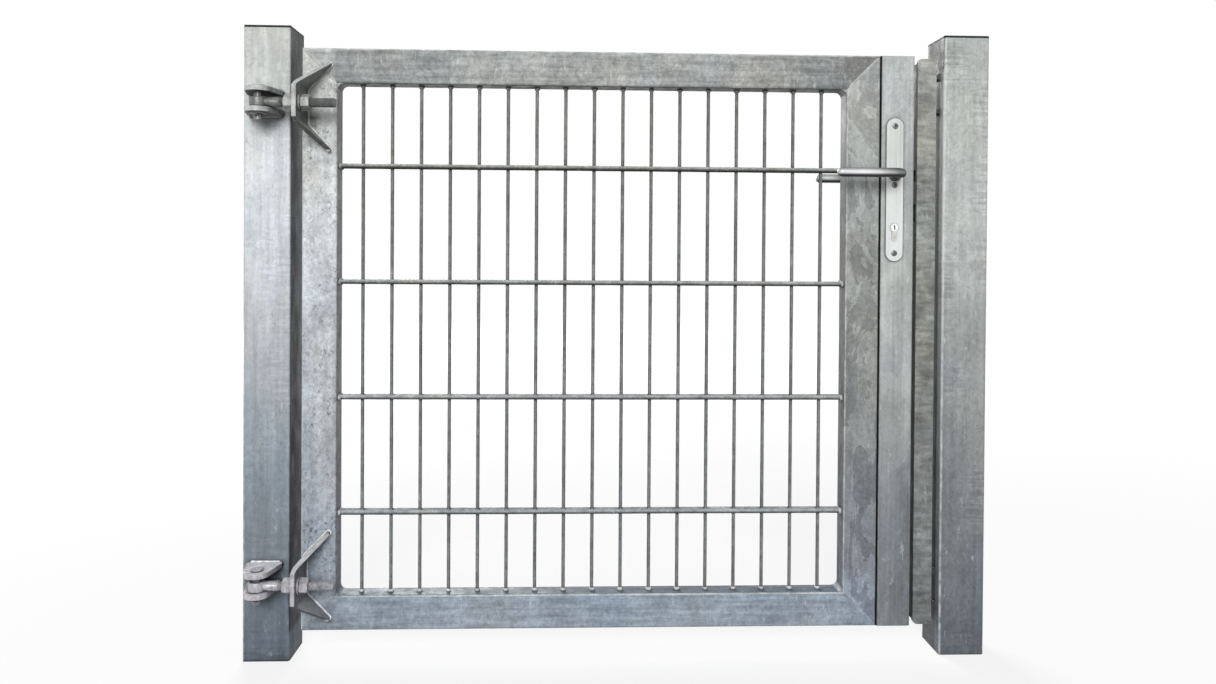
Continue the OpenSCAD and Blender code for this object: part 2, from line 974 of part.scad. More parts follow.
hinge_post();
latch_post();
hinge_post_cap();
latch_post_cap();
top_upper_lug();
top_lower_lug();
bottom_upper_lug();
bottom_lower_lug();
top_pin();
bottom_pin();
top_pin_washer();
bottom_pin_washer();
keeper_strip();
keeper_tabs();
hinge_stile();
latch_stile();
top_rail();
bottom_rail();
mesh_panel();
top_bracket();
bottom_bracket();
top_eye_bolt();
bottom_eye_bolt();
top_outer_nut();
top_inner_nut();
bottom_outer_nut();
bottom_inner_nut();
top_washers();
bottom_washers();
lock_box();
box_top_end();
box_bottom_end();
face_plate();
lock_case();
latch_bolt();
dead_bolt();
lock_cylinder();
front_escutcheon();
back_escutcheon();
front_lever();
back_lever();
spindle();
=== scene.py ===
"""Looks of the single-leaf gate: zinc finishes, mesh rods, welds, threads and small fasteners."""

import math
import random

import bmesh
import bpy
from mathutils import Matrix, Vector, noise


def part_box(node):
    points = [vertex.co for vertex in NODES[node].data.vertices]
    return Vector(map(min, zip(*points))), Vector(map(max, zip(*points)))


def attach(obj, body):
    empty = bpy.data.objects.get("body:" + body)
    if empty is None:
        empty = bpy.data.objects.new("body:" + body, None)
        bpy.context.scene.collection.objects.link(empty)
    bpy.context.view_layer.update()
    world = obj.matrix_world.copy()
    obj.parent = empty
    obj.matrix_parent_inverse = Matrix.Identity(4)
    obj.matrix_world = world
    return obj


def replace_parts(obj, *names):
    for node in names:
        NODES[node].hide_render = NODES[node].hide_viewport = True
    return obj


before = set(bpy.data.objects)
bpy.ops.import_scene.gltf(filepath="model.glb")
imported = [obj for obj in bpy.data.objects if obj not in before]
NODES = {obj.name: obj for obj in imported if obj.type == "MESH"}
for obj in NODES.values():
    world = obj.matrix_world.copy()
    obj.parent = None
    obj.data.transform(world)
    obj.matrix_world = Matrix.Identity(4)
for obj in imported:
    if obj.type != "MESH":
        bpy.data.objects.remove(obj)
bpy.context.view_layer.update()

MM = 0.001
UP = Vector((0, 0, 1))
RIGHT = Vector((1, 0, 0))
AWAY = Vector((0, 1, 0))


# ---- places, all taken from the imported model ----

def middle(node):
    low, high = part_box(node)
    return (low + high) / 2


def size(node):
    low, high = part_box(node)
    return high - low


LEAF_LOW, LEAF_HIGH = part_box("top_rail")[0].copy(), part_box("top_rail")[1].copy()
LEAF_LOW.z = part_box("bottom_rail")[0].z
TUBE_W = size("hinge_stile").x
OPEN_LOW = LEAF_LOW + Vector((TUBE_W, 0, TUBE_W))
OPEN_HIGH = LEAF_HIGH - Vector((TUBE_W, 0, TUBE_W))
FRONT_Y, BACK_Y = LEAF_LOW.y, LEAF_HIGH.y
MID_Y = (FRONT_Y + BACK_Y) / 2


def across_leaf(share):
    """The place along X at a share of the leaf's width, from the hinge side."""
    return LEAF_LOW.x + share * (LEAF_HIGH.x - LEAF_LOW.x)


# ---- camera, floor and light ----

LAMP_W = 3.2
LAMP_COLOUR = (1.0, 0.998, 0.99)


def make_camera():
    data = bpy.data.cameras.new("camera")
    data.sensor_width = 36.0
    data.lens = 27.4
    data.shift_y = -0.066
    camera = bpy.data.objects.new("camera", data)
    camera.location = (0.522, -1.636, 0.704)
    camera.rotation_euler = [math.radians(a) for a in (89.4, -0.37, -2.13)]
    bpy.context.scene.collection.objects.link(camera)
    bpy.context.scene.camera = camera


def area_light(name, place, aim, power):
    data = bpy.data.lights.new(name, "AREA")
    data.shape = "SQUARE"
    data.size = LAMP_W
    data.energy = power
    data.color = LAMP_COLOUR
    lamp = bpy.data.objects.new(name, data)
    lamp.location = place
    lamp.rotation_euler = (Vector(aim) - Vector(place)).to_track_quat("-Z", "Y").to_euler()
    bpy.context.scene.collection.objects.link(lamp)


def seen_background(tree):
    """A socket that is 1 for rays that show the background: camera, glossy and transmission rays."""
    rays = tree.nodes.new("ShaderNodeLightPath")
    total = rays.outputs["Is Camera Ray"]
    for name in ("Is Glossy Ray", "Is Transmission Ray"):
        add = tree.nodes.new("ShaderNodeMath")
        add.operation = "ADD"
        add.use_clamp = True
        tree.links.new(total, add.inputs[0])
        tree.links.new(rays.outputs[name], add.inputs[1])
        total = add.outputs[0]
    return total


def make_world(ambient):
    """A white world that is seen at full strength and lights the gate at the strength of ambient."""
    world = bpy.data.worlds.new("studio")
    world.use_nodes = True
    bpy.context.scene.world = world
    tree = world.node_tree
    shader = tree.nodes["Background"]
    shader.inputs["Color"].default_value = (1, 1, 1, 1)
    strength = tree.nodes.new("ShaderNodeMapRange")
    strength.inputs["To Min"].default_value = ambient
    strength.inputs["To Max"].default_value = 1.0
    tree.links.new(seen_background(tree), strength.inputs["Value"])
    tree.links.new(strength.outputs[0], shader.inputs["Strength"])


def make_floor(width, middle_x, grey):
    """A pale floor that glows a little more with distance, so that it meets the white background unseen."""
    bpy.ops.mesh.primitive_plane_add(size=width, location=(middle_x, 0, 0))
    floor = bpy.context.object
    floor.name = "floor"
    material = bpy.data.materials.new("floor_white")
    material.use_nodes = True
    tree = material.node_tree
    tree.nodes.clear()
    diffuse = tree.nodes.new("ShaderNodeBsdfDiffuse")
    diffuse.inputs["Color"].default_value = (grey, grey, grey, 1)
    place = tree.nodes.new("ShaderNodeTexCoord")
    distance = tree.nodes.new("ShaderNodeVectorMath")
    distance.operation = "LENGTH"
    glow_level = tree.nodes.new("ShaderNodeMapRange")
    for name, value in (("From Min", 1.0), ("From Max", 6.0), ("To Min", 0.77), ("To Max", 0.97)):
        glow_level.inputs[name].default_value = value
    lift = tree.nodes.new("ShaderNodeMath")
    lift.operation = "MULTIPLY"
    glow = tree.nodes.new("ShaderNodeEmission")
    both = tree.nodes.new("ShaderNodeAddShader")
    out = tree.nodes.new("ShaderNodeOutputMaterial")
    tree.links.new(place.outputs["Object"], distance.inputs[0])
    tree.links.new(distance.outputs["Value"], glow_level.inputs["Value"])
    tree.links.new(glow_level.outputs[0], lift.inputs[0])
    tree.links.new(seen_background(tree), lift.inputs[1])
    tree.links.new(lift.outputs[0], glow.inputs["Strength"])
    tree.links.new(diffuse.outputs[0], both.inputs[0])
    tree.links.new(glow.outputs[0], both.inputs[1])
    tree.links.new(both.outputs[0], out.inputs["Surface"])
    floor.data.materials.append(material)


# ---- materials ----

# A grain that isn't drawn out, and a distance in metres that ends past every part of the gate.
EVEN = (60, 60, 60)
FAR = 2.0


def srgb(red, green, blue):
    """A colour in a screen's steps from 0 to 255, as the linear values that a shader takes."""
    def linear(step):
        c = step / 255
        return c / 12.92 if c <= 0.04045 else ((c + 0.055) / 1.055) ** 2.4
    return tuple(linear(step) for step in (red, green, blue))


def grey_stops(pairs):
    """Stops of a ramp from pairs of a place and a grey."""
    return [(place, (grey,) * 3) for place, grey in pairs]


def colour_stops(pairs):
    """Stops of a ramp from pairs of a place and a colour in a screen's steps."""
    return [(place, srgb(*colour)) for place, colour in pairs]


class Tree:
    """A material's node tree, with short calls for the nodes that the finishes share."""

    def __init__(self, name):
        self.material = bpy.data.materials.new(name)
        self.material.use_nodes = True
        self.nodes = self.material.node_tree.nodes
        self.links = self.material.node_tree.links
        self.shader = self.nodes["Principled BSDF"]
        coordinates = self.nodes.new("ShaderNodeTexCoord")
        self.place = coordinates.outputs["Object"]
        self.normal = coordinates.outputs["Normal"]

    def put(self, socket, value):
        """Sets a socket to a number or a colour, or links it to another socket."""
        if isinstance(value, (int, float)):
            socket.default_value = value
        elif isinstance(value, tuple):
            socket.default_value = (*value, 1)[:len(socket.default_value)]
        else:
            self.links.new(value, socket)

    def mapped(self, scale, shift, turn):
        node = self.nodes.new("ShaderNodeMapping")
        node.inputs["Scale"].default_value = scale
        node.inputs["Location"].default_value = shift
        node.inputs["Rotation"].default_value = turn
        self.put(node.inputs["Vector"], self.place)
        return node.outputs[0]

    def noise(self, scale, seed=0.0, detail=4, rough=0.55, turn=(0, 0, 0), distortion=0.0):
        """Noise whose scale, per metre along X, Y and Z, can differ to draw it out into streaks."""
        node = self.nodes.new("ShaderNodeTexNoise")
        node.inputs["Scale"].default_value = 1.0
        node.inputs["Detail"].default_value = detail
        node.inputs["Roughness"].default_value = rough
        node.inputs["Distortion"].default_value = distortion
        self.put(node.inputs["Vector"], self.mapped(scale, (seed, seed * 0.7, seed * 1.3), turn))
        return node.outputs["Fac"]

    def cells(self, scale, seed):
        """A grey for each cell of a pattern of crystals."""
        node = self.nodes.new("ShaderNodeTexVoronoi")
        node.inputs["Scale"].default_value = 1.0
        self.put(node.inputs["Vector"], self.mapped(scale, (seed, seed, seed), (0, 0, 0)))
        split = self.nodes.new("ShaderNodeSeparateColor")
        self.put(split.inputs[0], node.outputs["Color"])
        return split.outputs[0]

    def remap(self, source, low, high, to_low, to_high):
        node = self.nodes.new("ShaderNodeMapRange")
        for name, value in (("From Min", low), ("From Max", high), ("To Min", to_low), ("To Max", to_high)):
            node.inputs[name].default_value = value
        self.put(node.inputs["Value"], source)
        return node.outputs[0]

    def vary(self, source, depth):
        """Turns noise, most of which lies from 0.36 to 0.64, into a factor that strays from 1 by depth."""
        return self.remap(source, 0.36, 0.64, 1 - depth, 1 + depth)

    def math(self, operation, *values):
        node = self.nodes.new("ShaderNodeMath")
        node.operation = operation
        for socket, value in zip(node.inputs, values):
            self.put(socket, value)
        return node.outputs[0]

    def product(self, *factors):
        total = factors[0]
        for factor in factors[1:]:
            total = self.math("MULTIPLY", total, factor)
        return total

    def ramp(self, source, stops):
        node = self.nodes.new("ShaderNodeValToRGB")
        while len(node.color_ramp.elements) < len(stops):
            node.color_ramp.elements.new(0.5)
        for element, (place, colour) in zip(node.color_ramp.elements, stops):
            element.position = place
            element.color = (*colour, 1)
        self.put(node.inputs["Fac"], source)
        return node.outputs["Color"]

    def mix(self, kind, factor, a, b):
        node = self.nodes.new("ShaderNodeMix")
        node.data_type = "RGBA"
        node.blend_type = kind
        for name, value in (("Factor", factor), ("A", a), ("B", b)):
            self.put(next(s for s in node.inputs if s.name == name and s.enabled), value)
        return next(s for s in node.outputs if s.enabled)

    def shaded(self, colour, factor):
        """Multiplies a colour by a single number that varies over the surface."""
        grey = self.nodes.new("ShaderNodeCombineColor")
        for socket in grey.inputs:
            self.put(socket, factor)
        return self.mix("MULTIPLY", 1.0, colour, grey.outputs[0])

    def axis(self, name):
        """The place along one axis, in metres."""
        node = self.nodes.new("ShaderNodeSeparateXYZ")
        self.put(node.inputs[0], self.place)
        return node.outputs[name]

    def within(self, name, low, high):
        """Two factors that are 1 between two places along an axis. Each falls to 0 at one of the ends."""
        soft = 6 * MM
        return (self.remap(self.axis(name), low, low + soft, 0, 1),
                self.remap(self.axis(name), high - soft, high, 1, 0))

    def arris(self):
        """1 on the round corners of a square tube and 0 on its flat faces."""
        node = self.nodes.new("ShaderNodeSeparateXYZ")
        self.put(node.inputs[0], self.normal)
        sizes = [self.math("ABSOLUTE", out) for out in node.outputs]
        most = self.math("MAXIMUM", self.math("MAXIMUM", sizes[0], sizes[1]), sizes[2])
        flat, rounded = 0.985, 0.86
        return self.remap(most, flat, rounded, 0, 1)

    def toward(self, direction):
        """How far the surface faces in a direction of the part itself, from -1 to 1."""
        node = self.nodes.new("ShaderNodeVectorMath")
        node.operation = "DOT_PRODUCT"
        node.inputs[1].default_value = direction
        self.put(node.inputs[0], self.normal)
        return node.outputs["Value"]

    def turned(self, direction):
        """1 on faces that look in a direction of the part itself, and 0 on those far from it."""
        return self.remap(self.toward(direction), 0.55, 0.95, 0, 1)

    def painted_crevice_shade(self, reach, depth, closed=0.2, clear=0.85):
        """A factor that falls from 1 to 1 - depth in crevices and near other faces: painted shade, from
        ambient occlusion.

        closed and clear are the openness, from 0 to 1, at which it is darkest and at which it ends.
        """
        node = self.nodes.new("ShaderNodeAmbientOcclusion")
        node.samples = 6
        node.inputs["Distance"].default_value = reach
        return self.remap(node.outputs["AO"], closed, clear, 1 - depth, 1)

    def bump(self, source, strength, distance):
        """Adds a bump to those that the shader already has."""
        node = self.nodes.new("ShaderNodeBump")
        node.inputs["Strength"].default_value = strength
        node.inputs["Distance"].default_value = distance
        self.put(node.inputs["Height"], source)
        if self.shader.inputs["Normal"].links:
            self.put(node.inputs["Normal"], self.shader.inputs["Normal"].links[0].from_socket)
        self.put(self.shader.inputs["Normal"], node.outputs[0])

    def finish(self, colour, roughness, metal, gloss):
        self.put(self.shader.inputs["Base Color"], colour)
        self.put(self.shader.inputs["Roughness"], roughness)
        self.shader.inputs["Metallic"].default_value = metal
        self.shader.inputs["Specular IOR Level"].default_value = gloss
        return self.material


def tone_by_height(t, tones, seed):
    """The tones, from the ground at 0 to the top of the leaf at 1, with wavering borders; a darker foot is
    partly painted shade.
    """
    lift = t.remap(t.axis("Z"), 0.0, LEAF_HIGH.z, 0.0, 1.0)
    wander = t.remap(t.noise((4, 4, 3), seed + 9, 3), 0.3, 0.7, -0.06, 0.06)
    return t.ramp(t.math("ADD", lift, wander), colour_stops(tones))


def grain(t, seed, runs, run_turn, run_depth, cloud_depth, mottle_depth):
    """A factor with clouds, drawn-out runs, mottling and crystals."""
    cloud = t.vary(t.noise((14, 14, 9), seed, 6, 0.62, distortion=0.8), cloud_depth)
    drawn = t.vary(t.noise(runs, seed + 3, 5, 0.6, run_turn), run_depth)
    mottle = t.vary(t.noise((125, 125, 105), seed + 5, 6, 0.75, distortion=0.6), mottle_depth)
    crystals = t.remap(t.cells((170, 170, 140), seed), 0, 1, 1 - mottle_depth / 3, 1 + mottle_depth / 3)
    return t.product(cloud, drawn, mottle, crystals)


def hue_drift(t, seed):
    """A colour near white that drifts between cool and warm."""
    warmth = t.remap(t.noise((9, 9, 5), seed + 13, 3), 0.35, 0.65, 0, 1)
    return t.mix("MIX", warmth, (0.965, 1.0, 1.04), (1.02, 1.0, 0.98))


def tide_marks(t, seed, depth):
    """A factor with dark patches that have a light rim, as water leaves them."""
    shore = 0.492
    tide = t.noise((16, 16, 7), seed + 17, 5, 0.6, distortion=1.2)
    inside = t.remap(tide, 0.47, 0.49, 1 - depth, 1)
    from_shore = t.math("ABSOLUTE", t.math("SUBTRACT", tide, shore))
    return t.product(inside, t.remap(from_shore, 0.002, 0.009, 1 + depth, 1))


def ripples(t, seed, depth):
    """A factor with the small level ridges that running zinc leaves in some places."""
    ridges = t.noise((16, 16, 210), seed + 19, 2, 0.5, turn=(0, 0.12, 0), distortion=0.4)
    patches = t.remap(t.noise((9, 9, 7), seed + 21, 2), 0.50, 0.60, 0, depth)
    height = t.remap(ridges, 0.42, 0.58, -1, 1)
    return t.math("ADD", 1.0, t.math("MULTIPLY", patches, height))


def freckles(t, seed, depth):
    """A factor with small dark specks that gather in patches."""
    speck_noise = t.noise((150, 150, 120), seed + 23, 4, 0.6, distortion=0.8)
    specks = t.remap(speck_noise, 0.55, 0.62, 0, depth)
    patches = t.remap(t.noise((22, 22, 15), seed + 25, 3), 0.42, 0.60, 0.15, 1)
    return t.math("SUBTRACT", 1.0, t.math("MULTIPLY", specks, patches))


def side_with_painted_light(t, colour, direction, factor, *spans):
    """The colour times a factor on the faces that look in a direction, inside all the spans: painted light or
    shade.
    """
    inside = t.turned(direction)
    for span in spans:
        inside = t.product(inside, *t.within(*span))
    return t.mix("MULTIPLY", inside, colour, (factor,) * 3)


def blemished(t, colour, seed, scuffs, pits):
    """The colour with pale scuffs and dark pinholes."""
    scuff = t.remap(t.noise((90, 90, 24), seed + 7, 6, 0.75, turn=(0.2, 0.35, 0.1)), 0.60, 0.70, 0, scuffs)
    colour = t.mix("MIX", scuff, colour, srgb(226, 229, 230))
    pit = t.remap(t.noise((230, 230, 230), seed + 11, 2), 0.66, 0.74, 0, pits)
    return t.mix("MIX", pit, colour, srgb(60, 62, 62))


def painted_corner_highlights(t, colour, seed, amount):
    """The colour with painted highlights, broken up by noise, on the round corners that face up or to the
    hinge side.
    """
    facing_the_light = t.remap(t.toward((-0.7, 0, 0.7)), -0.45, 0.25, 0, 1)
    highlight_mask = t.product(t.arris(), facing_the_light, t.vary(t.noise(EVEN, seed + 15, 3), 0.6))
    return t.mix("MIX", t.math("MULTIPLY", highlight_mask, amount), colour, srgb(228, 232, 232))


def seam_shade(t, seam_x):
    """A factor of painted shade, dark in the groove between two tubes that meet at a place along X."""
    from_seam = t.math("ABSOLUTE", t.math("SUBTRACT", t.axis("X"), seam_x))
    return t.remap(from_seam, 1.2 * MM, 3.2 * MM, 0.06, 1)


def zinc(name, tones, seed, runs=(110, 110, 5), run_turn=(0, 0, 0), run_depth=0.12, cloud_depth=0.16,
         mottle_depth=0.22, tide_depth=0.0, ripple_depth=0.0, freckle_depth=0.15, sides=(), fades=(),
         seam_x=None, scuffs=0.45, pits=0.35, bright_arris=0.42, shade_reach=45 * MM, shade_depth=0.6,
         crevice_shade_depth=0.35, crevice_shade_span=(0.2, 0.85), metal=0.04, gloss=0.08, rough=(0.36, 0.58)):
    """Hot-dip zinc.

    runs is the scale of the drawn-out streaks along X, Y and Z, and run_turn turns them. EVEN streaks
    aren't drawn out. Every depth says how far a mark strays from the tone, and 0 leaves the mark out.
    sides are a direction and a factor, for painted light or shade on the faces that look that way. An axis
    with two places after them bounds the part of the side where the factor holds.
    fades are stretches of X, from and to, along which the tone changes to a factor.
    seam_x is the place along X of a joint between two tubes, where shade is painted in the groove.
    Painted shade darkens faces near others, and more in the narrow corners within 6 mm.
    """
    t = Tree(name)
    colour = tone_by_height(t, tones, seed)
    colour = t.shaded(colour, grain(t, seed, runs, run_turn, run_depth, cloud_depth, mottle_depth))
    colour = t.mix("MULTIPLY", 1.0, colour, hue_drift(t, seed))
    for marks, depth in ((tide_marks, tide_depth), (ripples, ripple_depth), (freckles, freckle_depth)):
        if depth:
            colour = t.shaded(colour, marks(t, seed, depth))
    # Painted light and shade on the faces that look in the given directions.
    for side in sides:
        colour = side_with_painted_light(t, colour, *side)
    for start, end, factor in fades:
        colour = t.shaded(colour, t.remap(t.axis("X"), start, end, 1, factor))
    colour = blemished(t, colour, seed, scuffs, pits)
    # Painted highlights on the round corners that face up or to the hinge side.
    colour = painted_corner_highlights(t, colour, seed, bright_arris)
    # Painted shade in the groove of the seam.
    if seam_x is not None:
        colour = t.shaded(colour, seam_shade(t, seam_x))
    # Painted shade near other faces and in narrow corners, from ambient occlusion.
    painted_near_shade = t.painted_crevice_shade(shade_reach, shade_depth)
    colour = t.shaded(colour, t.product(painted_near_shade, t.painted_crevice_shade(6 * MM, crevice_shade_depth, *crevice_shade_span)))
    t.bump(t.noise((34, 34, 24), seed + 4, 4), 0.30, 1.2 * MM)
    t.bump(t.noise((210, 210, 170), seed + 6, 4), 0.25, 0.5 * MM)
    roughness = t.remap(t.noise((40, 40, 22), seed + 2, 5, 0.6), 0.35, 0.65, *rough)
    return t.finish(colour, roughness, metal, gloss)


def plastic_black():
    t = Tree("cap_black")
    colour = t.ramp(t.noise(EVEN, 1, 4), colour_stops([(0.35, (14, 14, 15)), (0.65, (26, 26, 27))]))
    t.bump(t.noise((700, 700, 700), 3, 2), 0.25, 0.2 * MM)
    return t.finish(colour, t.remap(t.noise((90, 90, 90), 2, 4), 0.3, 0.7, 0.5, 0.75), 0.0, 0.25)


def satin(name, tone, brushing, seed=0.0, metal=0.6, gloss=0.5, rough=(0.26, 0.42), depth=0.06):
    """Satin metal, brushed along the axis that has the small number in brushing.

    tone is a colour in a screen's steps, or a function of the tree that gives a colour.
    """
    t = Tree(name)
    brush = t.noise(brushing, seed, 4, 0.6)
    cloud = t.vary(t.noise((28, 28, 14), seed + 2, 4), 0.04)
    base = tone(t) if callable(tone) else srgb(*tone)
    # Brushing and cloud, times painted shade near other faces within 20 mm.
    colour = t.shaded(base, t.product(t.vary(brush, depth), cloud, t.painted_crevice_shade(20 * MM, 0.45)))
    t.bump(brush, 0.12, 0.2 * MM)
    return t.finish(colour, t.remap(brush, 0.35, 0.65, *rough), metal, gloss)


def grip_with_painted_light(t):
    """A lever's colour: a painted highlight along the grip, and painted shade at the elbow, the neck, the top
    and below.
    """
    low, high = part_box("front_lever")
    along = t.remap(t.axis("X"), low.x, high.x, 0, 1)
    wander = t.remap(t.noise(EVEN, 3, 3), 0.3, 0.7, -0.05, 0.05)
    grip = colour_stops([(0.0, (214, 217, 219)), (0.35, (242, 244, 246)), (0.60, (210, 213, 214)),
                         (0.82, (128, 131, 130)), (1.0, (106, 109, 108))])
    # Painted light on the faces that look level, and painted shade on those that look up or down.
    below_to_top = t.remap(t.toward(tuple(UP)), -1, 1, 0, 1)
    painted_light_band = grey_stops([(0.0, 0.03), (0.22, 0.06), (0.42, 1.0), (0.60, 0.9), (0.9, 0.3)])
    return t.mix("MULTIPLY", 1.0, t.ramp(t.math("ADD", along, wander), grip), t.ramp(below_to_top, painted_light_band))


def cover_tones_by_height(t):
    """An escutcheon's colour: a little darker above the lever, and pale below."""
    low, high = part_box("front_escutcheon")
    tones = [(0.15, (214, 218, 217)), (0.55, (211, 215, 212)), (0.75, (194, 199, 193))]
    return t.ramp(t.remap(t.axis("Z"), low.z, high.z, 0, 1), colour_stops(tones))


def plug_and_painted_gap_shade(t):
    """The cylinder's colour: a bright turning plug in a duller body, whose dull tone also paints the shade of
    the gap round the plug.
    """
    centre = middle("lock_cylinder")
    plug_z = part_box("lock_cylinder")[1].z - size("lock_cylinder").x / 2
    flattened = t.nodes.new("ShaderNodeVectorMath")
    flattened.operation = "MULTIPLY"
    flattened.inputs[1].default_value = (1, 0, 1)
    t.put(flattened.inputs[0], t.place)
    distance = t.nodes.new("ShaderNodeVectorMath")
    distance.operation = "DISTANCE"
    distance.inputs[1].default_value = (centre.x, 0, plug_z)
    t.put(distance.inputs[0], flattened.outputs[0])
    outward = t.remap(distance.outputs["Value"], 6 * MM, 7 * MM, 0, 1)
    return t.ramp(outward, colour_stops([(0.2, (236, 238, 238)), (0.8, (192, 192, 186))]))


def paint(material, *nodes):
    for name in nodes:
        NODES[name].material_slots[0].material = material


# ---- mesh helpers ----

# Angles in degrees from which an edge is shaded sharp: on plain walls, turned parts and lumpy metal.
PLAIN, TURNED, LUMPY = 35, 40, 60


def new_piece(name, build, body, material, sharp_from=PLAIN):
    """Makes one piece from a function that fills a bmesh, smooth shaded except across sharp edges."""
    shape = bmesh.new()
    build(shape)
    bmesh.ops.recalc_face_normals(shape, faces=shape.faces)
    data = bpy.data.meshes.new(name)
    shape.to_mesh(data)
    shape.free()
    data.polygons.foreach_set("use_smooth", [True] * len(data.polygons))
    data.set_sharp_from_angle(angle=math.radians(sharp_from))
    data.materials.append(material)
    piece = bpy.data.objects.new(name, data)
    bpy.context.scene.collection.objects.link(piece)
    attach(piece, body)
    return piece


def ring_of(shape, centre, u, v, radius, sides):
    """Vertices on a circle or, where radius is a function of the angle, on another closed curve."""
    ring = []
    for i in range(sides):
        a = 2 * math.pi * i / sides
        r = radius(a) if callable(radius) else radius
        ring.append(shape.verts.new(centre + (u * math.cos(a) + v * math.sin(a)) * r))
    return ring


def skin(shape, rings, closed=False):
    """Joins a row of rings by faces, and closes its two ends unless the row itself is a closed one."""
    following = rings[1:] + rings[:1] if closed else rings[1:]
    for a, b in zip(rings, following):
        n = len(a)
        for i in range(n):
            shape.faces.new((a[i], a[(i + 1) % n], b[(i + 1) % n], b[i]))
    if not closed:
        shape.faces.new(list(reversed(rings[0])))
        shape.faces.new(rings[-1])


def across(direction):
    """Two unit vectors at right angles to direction."""
    helper = UP if abs(direction.z) < 0.9 else RIGHT
    u = direction.cross(helper).normalized()
    return u, direction.cross(u).normalized()


def rod(shape, start, end, radius, sides, uneven, seed):
    """A straight round rod whose surface wavers by uneven, as dipped wire does."""
    rings = 90
    waves_per_m = 60
    u, v = across((end - start).normalized())
    loops = []
    for k in range(rings):
        centre = start.lerp(end, k / (rings - 1))

        def wavering(a, centre=centre):
            at = centre * waves_per_m + Vector((math.cos(a), math.sin(a), seed))
            return radius + uneven * noise.noise(at)
        loops.append(ring_of(shape, centre, u, v, wavering, sides))
    skin(shape, loops)


def lathe(shape, origin, axis, profile, sides, closed=False):
    """Turns a profile of (along, radius) pairs round an axis."""
    u, v = across(axis)
    rings = [ring_of(shape, origin + axis * along, u, v, radius, sides) for along, radius in profile]
    skin(shape, rings, closed)


def blob(shape, centre, radii, seed, rough):
    """A lumpy rounded spot of weld metal or zinc."""
    lumps = 1.7
    made = bmesh.ops.create_icosphere(shape, subdivisions=2, radius=1.0)
    for vert in made["verts"]:
        swell = 1 + rough * noise.noise(vert.co * lumps + Vector((seed, seed * 0.37, -seed)))
        vert.co = centre + Vector(c * r * swell for c, r in zip(vert.co, radii))


def resampled(points, step):
    """The same closed line with points at about equal distances."""
    even = []
    for a, b in zip(points, points[1:] + points[:1]):
        pieces = max(1, round((b - a).length / step))
        even += [a.lerp(b, k / pieces) for k in range(pieces)]
    return even


def tube(shape, points, radius, flat_normal, sides, closed=False):
    """A round run along points that lie in one plane. A function of the place gives an uneven radius."""
    rings = []
    last = len(points) - 1
    for k, place in enumerate(points):
        before = points[k - 1] if closed or k else place
        after = points[(k + 1) % len(points)] if closed or k < last else place
        side = (after - before).normalized().cross(flat_normal)
        r = radius(place, k) if callable(radius) else radius
        rings.append(ring_of(shape, place, flat_normal, side, r, sides))
    skin(shape, rings, closed)


def fillet_weld(shape, points, flat_normal, radius, seed):
    """A closed run of weld metal along a line of points, with the ripples that welding leaves."""
    step = 1.1 * MM
    sides = 10
    lumps_per_m = 70
    lump, ripple = 0.22, 0.09
    turn_per_step = 2.1

    def lumpy(place, k):
        swell = 1 + lump * noise.noise(place * lumps_per_m + Vector((seed, 0, 0)))
        return radius * swell * (1 + ripple * math.cos(k * turn_per_step + seed))
    tube(shape, resampled(points, step), lumpy, flat_normal, sides, True)


def contact_outlines(node, axis, level):
    """Outlines of the faces of a CAD node that lie in the plane where one coordinate equals level."""
    same_place = 0.01 * MM
    in_plane = 0.1 * MM
    shape = bmesh.new()
    shape.from_mesh(NODES[node].data)
    bmesh.ops.remove_doubles(shape, verts=shape.verts, dist=same_place)
    flat = {f for f in shape.faces if all(abs(v.co[axis] - level) < in_plane for v in f.verts)}
    near = {}
    for edge in shape.edges:
        if sum(f in flat for f in edge.link_faces) == 1:
            a, b = edge.verts
            near.setdefault(a.index, []).append(b.index)
            near.setdefault(b.index, []).append(a.index)
    places = [v.co.copy() for v in shape.verts]
    shape.free()
    outlines = []
    while near:
        start = here = next(iter(near))
        outline = []
        while here in near:
            outline.append(places[here])
            onward = [n for n in near.pop(here) if n in near]
            here = onward[0] if onward else start
        outlines.append(outline)
    return outlines


# ---- mesh of the leaf ----

WIRE_D = 6 * MM
BAR_D = 8 * MM
WIRE_PITCH = 50 * MM
BAR_PITCH = 200 * MM
WIRE_SIDES = 16
BAR_SIDES = 20


def rod_places():
    """Places of the upright wires along X and of the level bars along Z, centred in the leaf's opening."""
    rounding = 1e-6
    wires = int((OPEN_HIGH.x - OPEN_LOW.x) / WIRE_PITCH + rounding)
    bars = int((OPEN_HIGH.z - OPEN_LOW.z) / BAR_PITCH + rounding)
    centre = (OPEN_LOW + OPEN_HIGH) / 2
    return ([centre.x + (i - (wires - 1) / 2) * WIRE_PITCH for i in range(wires)],
            [centre.z + (j - (bars - 1) / 2) * BAR_PITCH for j in range(bars)])


def mesh_rods(material):
    """The wires, the double bars and the zinc that has run into their crossings."""
    wires, bars = rod_places()
    low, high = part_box("mesh_panel")
    bar_y = (MID_Y - low.y) - BAR_D / 2
    crossing_y = WIRE_D / 2 + 0.2 * MM
    crossing_radii = (4.6 * MM, 1.6 * MM, 4.8 * MM)
    wire_waver, bar_waver = 0.18 * MM, 0.2 * MM

    def build(shape):
        for i, x in enumerate(wires):
            foot, head = Vector((x, MID_Y, low.z)), Vector((x, MID_Y, high.z))
            rod(shape, foot, head, WIRE_D / 2, WIRE_SIDES, wire_waver, i)
        for j, z in enumerate(bars):
            for side in (-1, 1):
                y = MID_Y + side * bar_y
                left, right = Vector((low.x, y, z)), Vector((high.x, y, z))
                rod(shape, left, right, BAR_D / 2, BAR_SIDES, bar_waver, 40 + j + side)
                for i, x in enumerate(wires):
                    spot = Vector((x, MID_Y + side * crossing_y, z))
                    blob(shape, spot, crossing_radii, i + 20 * j, 0.15)
    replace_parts(new_piece("mesh_rods", build, "leaf", material, LUMPY), "mesh_panel")


